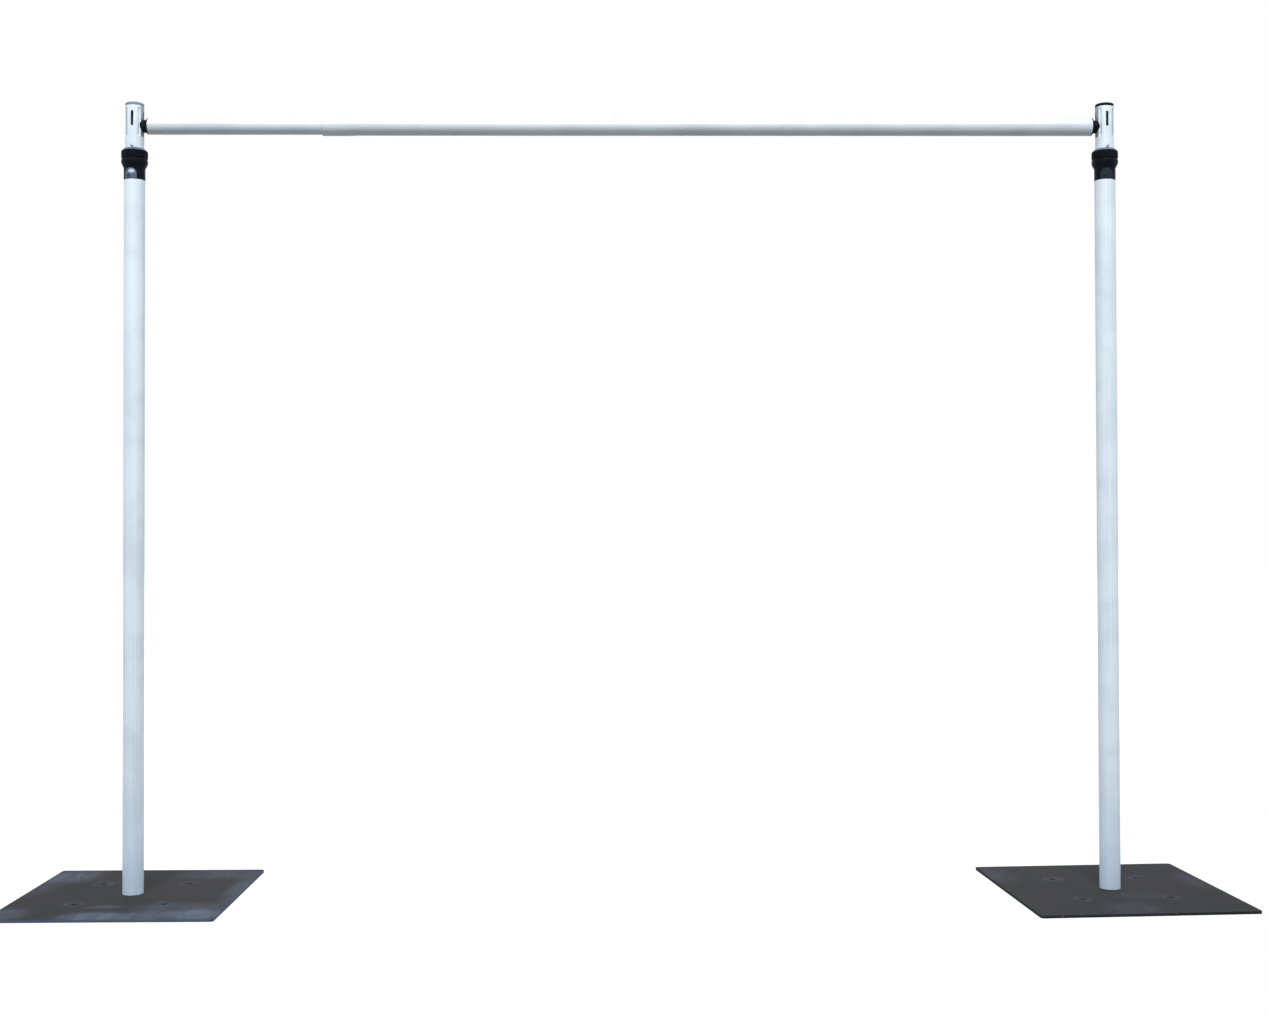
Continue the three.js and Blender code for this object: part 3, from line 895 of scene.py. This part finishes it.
def lockRing(side, shape):
    low, _ = boxOf(side + "_lock_ring")
    ring = lathe([
        (shape["neckBore"], 0, shape["neckEdge"]),
        (shape["waistRadius"], 0, shape["waistEdge"]),
        (shape["radius"], shape["waistHeight"], shape["sideEdge"]),
        (shape["radius"], shape["bevelStart"], shape["shoulderRounding"]),
        (shape["topRadius"], shape["height"], shape["topRounding"]),
        (shape["lipBore"], shape["height"], shape["lipEdge"]),
        (shape["lipBore"], shape["lipFloor"], 0),
        (shape["coneTop"], shape["lipFloor"], 0),
        (shape["neckBore"], shape["coneFoot"], 0),
    ], shape["grooves"] * shape["stepsPerGroove"], shape["rounds"])
    bite = shape["grooveRadius"] * mm
    reach = (shape["radius"] + shape["grooveRadius"] - shape["grooveDepth"]) * mm
    for vert in ring.verts:
        radius = hypot(vert.co.x, vert.co.y)
        if radius < shape["solidRadius"] * mm:
            continue
        for i in range(shape["grooves"]):
            angle = (i + 0.5) / shape["grooves"] * 2 * pi
            ahead = (vert.co.x * cos(angle) + vert.co.y * sin(angle)) / radius
            aside = reach * sineOf(ahead)
            if ahead <= 0 or aside > bite:
                continue
            groove = reach * ahead - (bite ** 2 - aside ** 2) ** 0.5
            if radius > groove:
                vert.co.x *= groove / radius
                vert.co.y *= groove / radius
                break
    moved(ring, place(uprightAxis(side) / mm, z=low.z))
    addPiece(side + "LockRing", ring, "gripNylon", side + "_lock_ring")


for side in sides:
    lockBody(side, lockShape)
    lockRing(side, ringShape)
print("locks")


# Inner tubes: slots on the four sides of the head, soft flutes pressed between them

mastShape = {
    "radius": 21.5,
    "wall": 1.5,
    "steps": 180,
    "slotSteps": 4,
    "slotFoot": 1801,
    "slotTop": 1835.5,
    "fluteFoot": 1776,
    "fluteTop": 1845,
    "fluteHalf": 4.1,
    "fluteDepth": 2.9,
    # rows of vertices: one above the foot, one under the head, and close ones in the head
    "footRow": 1,
    "neckRow": 1766,
    "headStart": 1770,
    "rowHeight": 1.5,
    "edge": 0.25,
}


def innerTube(side, shape):
    low, high = boxOf(side + "_inner_tube")
    heights = [low.z, low.z + shape["footRow"], shape["neckRow"]]
    stations = (shape["headStart"], shape["slotFoot"], shape["slotTop"], high.z)
    for start, end in zip(stations, stations[1:]):
        rows = round((end - start) / shape["rowHeight"])
        heights += [start + (end - start) * i / rows for i in range(rows)]
    heights.append(high.z)
    tube = bmesh.new()
    line = [tube.verts.new((shape["radius"] * mm, 0, z * mm)) for z in heights]
    for first, second in zip(line, line[1:]):
        tube.edges.new((first, second))
    spun(tube, shape["steps"])
    slotHalf = shape["radius"] * sin(2 * pi * shape["slotSteps"] / shape["steps"]) * mm
    openings = []
    for face in tube.faces:
        middle = face.calc_center_median()
        inSlot = shape["slotFoot"] * mm < middle.z < shape["slotTop"] * mm
        if inSlot and min(abs(middle.x), abs(middle.y)) < slotHalf:
            openings.append(face)
    bmesh.ops.delete(tube, geom=openings, context="FACES")
    half = shape["fluteHalf"] * mm
    foot = shape["fluteFoot"] * mm + half
    top = shape["fluteTop"] * mm - half
    for vert in tube.verts:
        beyond = max(foot - vert.co.z, vert.co.z - top, 0)
        if beyond > half:
            continue
        # the flutes lie on the diagonals between the slots
        radius = hypot(vert.co.x, vert.co.y)
        ahead = (abs(vert.co.x) + abs(vert.co.y)) / radius / 2 ** 0.5
        away = min(hypot(radius * sineOf(ahead), beyond) / half, 1)
        share = 1 - shape["fluteDepth"] * mm * (0.5 + 0.5 * cos(pi * away)) / radius
        vert.co.x *= share
        vert.co.y *= share
    bmesh.ops.solidify(tube, geom=tube.faces[:], thickness=shape["wall"] * mm)
    moved(tube, place(uprightAxis(side) / mm))
    addPiece(side + "InnerTube", tube, side + "Tube", side + "_inner_tube", shape["edge"])


for side in sides:
    innerTube(side, mastShape)
print("inner tubes")


# Head caps

capShape = {
    "spigotRadius": 19.75,
    "spigotEdge": 0.4,
    "spigot": 4,
    "radius": 21.5,
    "edge": 0.15,
    "flange": 7.5,
    "rounding": 3,
    "steps": 128,
    "rounds": 6,
}


def headCap(side, shape):
    _, high = boxOf(side + "_head_cap")
    cap = lathe([
        (0, -shape["spigot"], 0),
        (shape["spigotRadius"], -shape["spigot"], shape["spigotEdge"]),
        (shape["spigotRadius"], 0, 0),
        (shape["radius"], 0, shape["edge"]),
        (shape["radius"], shape["flange"], shape["rounding"]),
        (0, shape["flange"], 0),
    ], shape["steps"], shape["rounds"])
    moved(cap, place(uprightAxis(side) / mm, z=high.z - shape["flange"]))
    addPiece(side + "Cap", cap, side + "Cap", side + "_head_cap")


for side in sides:
    headCap(side, capShape)
print("caps")


# Blind rivets

rivetShape = {
    "shank": 2.4,
    "shankEdge": 0.4,
    "head": 4,
    "headEdge": 0.1,
    "height": 1.6,
    "rimLightShadeShare": 0.35,
    "rimRounding": 0.5,
    "crownShare": 0.55,
    "crownRounding": 0.8,
    "pit": 1.15,
    "pitDepth": 0.7,
    "pitEdge": 0.15,
    "pitFloorEdge": 0.1,
    "steps": 48,
}


def rivet(name, node, towards, shape):
    # towards is +1 for a head at the back, -1 for one in front
    low, high = boxOf(node)
    head, height = shape["head"], shape["height"]
    length = high.y - low.y - height
    pitFloor = height - shape["pitDepth"]
    stem = lathe([
        (0, -length, 0),
        (shape["shank"], -length, shape["shankEdge"]),
        (shape["shank"], 0, 0),
        (head, 0, shape["headEdge"]),
        (head, height * shape["rimLightShadeShare"], shape["rimRounding"]),
        (head * shape["crownShare"], height, shape["crownRounding"]),
        (shape["pit"], height, shape["pitEdge"]),
        (shape["pit"], pitFloor, shape["pitFloorEdge"]),
        (0, pitFloor, 0),
    ], shape["steps"])
    moved(stem, Matrix.Rotation(-towards * pi / 2, 4, "X"))
    seat = high.y - height if towards > 0 else low.y + height
    moved(stem, place((low.x + high.x) / 2, seat, (low.z + high.z) / 2))
    addPiece(name, stem, "zinc", node)


for side in sides:
    rivet(side + "StopRivet", side + "_stop_rivet", -1, rivetShape)
    rivet(side + "LockRivet", side + "_lock_rivet", 1, rivetShape)
    rivet(side + "PlugRivet", side + "_plug_rivet", 1, rivetShape)
print("rivets")


# Crossbar: thin tube, thick tube with its swelled mouth

barShape = {
    "lip": 0.35,
    "thinBore": 17.5,
    "thickRadius": 21,
    "thickBore": 19.5,
    "swell": 0.8,
    "mouthLength": 62,
    "mouthTaper": 18,
    "mouthInnerEdge": 0.3,
    "mouthOuterEdge": 0.5,
    "taperRounding": 6,
    "steps": 128,
    "rounds": 5,
}
alongX = Matrix.Rotation(pi / 2, 4, "Y")
barLow, barHigh = boxOf("bar_inner_tube")
barHeight = (barLow.z + barHigh.z) / 2


def thinTube(shape):
    radius = (barHigh.z - barLow.z) / 2
    tube = plainTube(shape["thinBore"], radius, barLow.x, barHigh.x, shape["lip"], shape["steps"])
    moved(tube, place(z=barHeight) @ alongX)
    addPiece("thinTube", tube, "barTube", "bar_inner_tube")


def thickTube(shape):
    low, high = boxOf("bar_outer_tube")
    mouthEnd = low.x + shape["mouthLength"]
    plain = mouthEnd + shape["mouthTaper"]
    radius, bore, swell = shape["thickRadius"], shape["thickBore"], shape["swell"]
    rounding, lip = shape["taperRounding"], shape["lip"]
    tube = lathe([
        (bore + swell, low.x, shape["mouthInnerEdge"]),
        (radius + swell, low.x, shape["mouthOuterEdge"]),
        (radius + swell, mouthEnd, rounding),
        (radius, plain, rounding),
        (radius, high.x, lip),
        (bore, high.x, lip),
        (bore, plain, rounding),
        (bore + swell, mouthEnd, rounding),
    ], shape["steps"], shape["rounds"])
    moved(tube, place(z=barHeight) @ alongX)
    addPiece("thickTube", tube, "barTube", "bar_outer_tube")


thinTube(barShape)
thickTube(barShape)
print("crossbar tubes")


# Crossbar ends: saddle plugs and hooks

endShape = {
    "left": {"tube": 19, "bore": 17.5},
    "right": {"tube": 21, "bore": 19.5},
    "barEnd": 33.5,
    "collar": 2.5,
    "collarRounding": 0.8,
    "collarEdge": 0.3,
    "taper": 3,
    "nose": 15,
    "noseRounding": 1.5,
    "fit": 0.25,
    "spigot": 42,
    "spigotRounding": 1.2,
    "steps": 128,
    "cope": 21.8,
    "copeSteps": 160,
    "bladeSlot": 5.1,
    "bladeSlotHeight": 24.6,
    "bladeSlotEnd": 61.8,
    "toolReach": 30,
    "edge": 0.5,
}

# the hole for the pin that holds the hook in the plug
pinShape = {"radius": 2.8, "place": 53.5, "steps": 32}


def pinHole(reach, shape):
    hole = rod(shape["radius"], -reach, reach, shape["steps"])
    return moved(hole, place(shape["place"]) @ Matrix.Rotation(pi / 2, 4, "X"))


def endPlace(side):
    # the right end is the left one turned about
    turn = Matrix.Rotation(pi if side == "right" else 0, 4, "Z")
    return place(uprightAxis(side) / mm, z=barHeight) @ turn


def endPlug(side, shape):
    tube, spigot = shape[side]["tube"], shape[side]["bore"] - shape["fit"]
    barEnd, collar = shape["barEnd"], shape["barEnd"] - shape["collar"]
    tip, reach = barEnd + shape["spigot"], shape["toolReach"]
    plug = lathe([
        (0, 0, 0),
        (shape["nose"], 0, 0),
        (shape["nose"], collar - shape["taper"], shape["noseRounding"]),
        (tube, collar, shape["collarRounding"]),
        (tube, barEnd, shape["collarEdge"]),
        (spigot, barEnd, 0),
        (spigot, tip, shape["spigotRounding"]),
        (0, tip, 0),
    ], shape["steps"])
    moved(plug, alongX)
    cope = rod(shape["cope"], -reach, reach, shape["copeSteps"])
    slot = block(shape["bladeSlotEnd"], shape["bladeSlot"], shape["bladeSlotHeight"])
    moved(slot, place(shape["bladeSlotEnd"] / 2))
    plug = carved(plug, [cope, slot, pinHole(reach, pinShape)])
    moved(plug, endPlace(side))
    addPiece(side + "EndPlug", plug, "blackNylon", side + "_end_plug", shape["edge"])


hookShape = {
    "thickness": 4.5,
    "rootEnd": 61.5,
    "rootHalf": 12,
    "neckTop": 10.3,
    "seat": -1.7,
    "face": 21.8,
    "lipOuter": 19.5,
    "lipInner": 11,
    "lipFoot": -17,
    "lead": 3,
    "toolReach": 9,
    "edge": 0.5,
}


def hook(side, shape):
    outline = [
        (shape["rootEnd"], -shape["rootHalf"]),
        (shape["rootEnd"], shape["rootHalf"]),
        (shape["face"], shape["rootHalf"]),
        (shape["face"], shape["neckTop"]),
        (shape["lipInner"], shape["neckTop"]),
        (shape["lipInner"], shape["lipFoot"] + shape["lead"]),
        (shape["lipInner"] + shape["lead"], shape["lipFoot"]),
        (shape["lipOuter"], shape["lipFoot"]),
        (shape["lipOuter"], shape["seat"]),
        (shape["face"], shape["seat"]),
        (shape["face"], -shape["rootHalf"]),
    ]
    blade = prism(outline, -shape["thickness"] / 2, shape["thickness"])
    blade = carved(blade, [pinHole(shape["toolReach"], pinShape)])
    moved(blade, endPlace(side))
    addPiece(side + "Hook", blade, "zinc", side + "_hook", shape["edge"])


for side in sides:
    endPlug(side, endShape)
    hook(side, hookShape)
print("crossbar ends")


# CAD pieces that stay: pins, bolts, collets and bushes

kept = {"bar_mouth_bush": "blackNylon", "bar_glide_bush": "blackNylon"}
for side in sides:
    kept[side + "_base_pin"] = "zinc"
    kept[side + "_base_pin_bolt"] = "zinc"
    kept[side + "_hook_pin"] = "zinc"
    kept[side + "_lock_collet"] = "greyPlastic"
    kept[side + "_foot_bush"] = "blackNylon"
for name, finish in kept.items():
    node = frame["nodes"][name]
    node.data.materials.clear()
    node.data.materials.append(finishes[finish])
print("kept pieces painted")


# Studio: white floor and background for the camera and reflections, two soft boxes above.
# Places and sizes are in metres here, powers in watts, the spread in degrees.

studio = {
    "floorSize": 60,
    "floorHeight": -0.0003,
    "floorBounce": "#837f7c",
    "floorShade": 0.3,
    "floorGlow": (1.8, 5, 0.745, 1.0),
    "ambient": 0.8,
    "ambientColor": "#eef7ff",
    "seenColor": "#ffffff",
    "lampColor": "#fff8f0",
    "lampSize": 1.7,
    "spread": 42,
    "boxes": {
        "leftBox": {"place": (-0.9, -2.75, 4.8), "aim": (-0.9, 0, 1.25), "power": 13},
        "rightBox": {"place": (0.75, -2.75, 4.8), "aim": (0.9, 0, 1.35), "power": 12.1},
    },
}


def seenDirectly(tree):
    # 1 for what the camera, a reflection or a view through something sees
    path = tree.nodes.new("ShaderNodeLightPath")
    seen = calculate(tree, "MAXIMUM", path.outputs["Is Camera Ray"], path.outputs["Is Glossy Ray"])
    return calculate(tree, "MAXIMUM", seen, path.outputs["Is Transmission Ray"])


def addFloor(values):
    # it glows white where it is seen, and sends a dimmer warm light up to the pieces
    floor = bmesh.new()
    bmesh.ops.create_grid(floor, x_segments=1, y_segments=1, size=values["floorSize"] / 2)
    moved(floor, Matrix.Translation((0, 0, values["floorHeight"])))
    thing = linked(floor, "floor")
    material, tree, shader = newMaterial("floor")
    tree.nodes.remove(shader)
    plain = tree.nodes.new("ShaderNodeBsdfDiffuse")
    plain.inputs["Color"].default_value = linear(values["floorBounce"])
    shaded = tree.nodes.new("ShaderNodeBsdfDiffuse")
    shaded.inputs["Color"].default_value = (values["floorShade"],) * 3 + (1,)
    glow = tree.nodes.new("ShaderNodeEmission")
    away = lengthOf(tree, objectPoints(tree))
    tree.links.new(ramp(tree, away, *values["floorGlow"]), glow.inputs["Strength"])
    both = tree.nodes.new("ShaderNodeAddShader")
    tree.links.new(shaded.outputs[0], both.inputs[0])
    tree.links.new(glow.outputs[0], both.inputs[1])
    choice = tree.nodes.new("ShaderNodeMixShader")
    tree.links.new(seenDirectly(tree), choice.inputs[0])
    tree.links.new(plain.outputs[0], choice.inputs[1])
    tree.links.new(both.outputs[0], choice.inputs[2])
    tree.links.new(choice.outputs[0], tree.nodes["Material Output"].inputs["Surface"])
    thing.data.materials.append(material)


def addWorld(values):
    world = bpy.data.worlds.new("studio")
    world.use_nodes = True
    bpy.context.scene.world = world
    tree = world.node_tree
    background = tree.nodes["Background"]
    seen = seenDirectly(tree)
    color = blendColors(tree, seen, values["ambientColor"], values["seenColor"])
    tree.links.new(color, background.inputs["Color"])
    tree.links.new(ramp(tree, seen, 0, 1, values["ambient"], 1), background.inputs["Strength"])


def addSoftBox(name, box, values):
    data = bpy.data.lights.new(name, "AREA")
    data.color = linear(values["lampColor"])[:3]
    data.shape = "SQUARE"
    data.size = values["lampSize"]
    data.spread = radians(values["spread"])
    data.energy = box["power"]
    light = bpy.data.objects.new(name, data)
    bpy.context.scene.collection.objects.link(light)
    light.location = box["place"]
    towards = Vector(box["aim"]) - Vector(box["place"])
    light.rotation_euler = towards.to_track_quat("-Z", "Y").to_euler()


addFloor(studio)
addWorld(studio)
for name, box in studio["boxes"].items():
    addSoftBox(name, box, studio)
print("studio")

bpy.context.scene.view_settings.view_transform = "Standard"
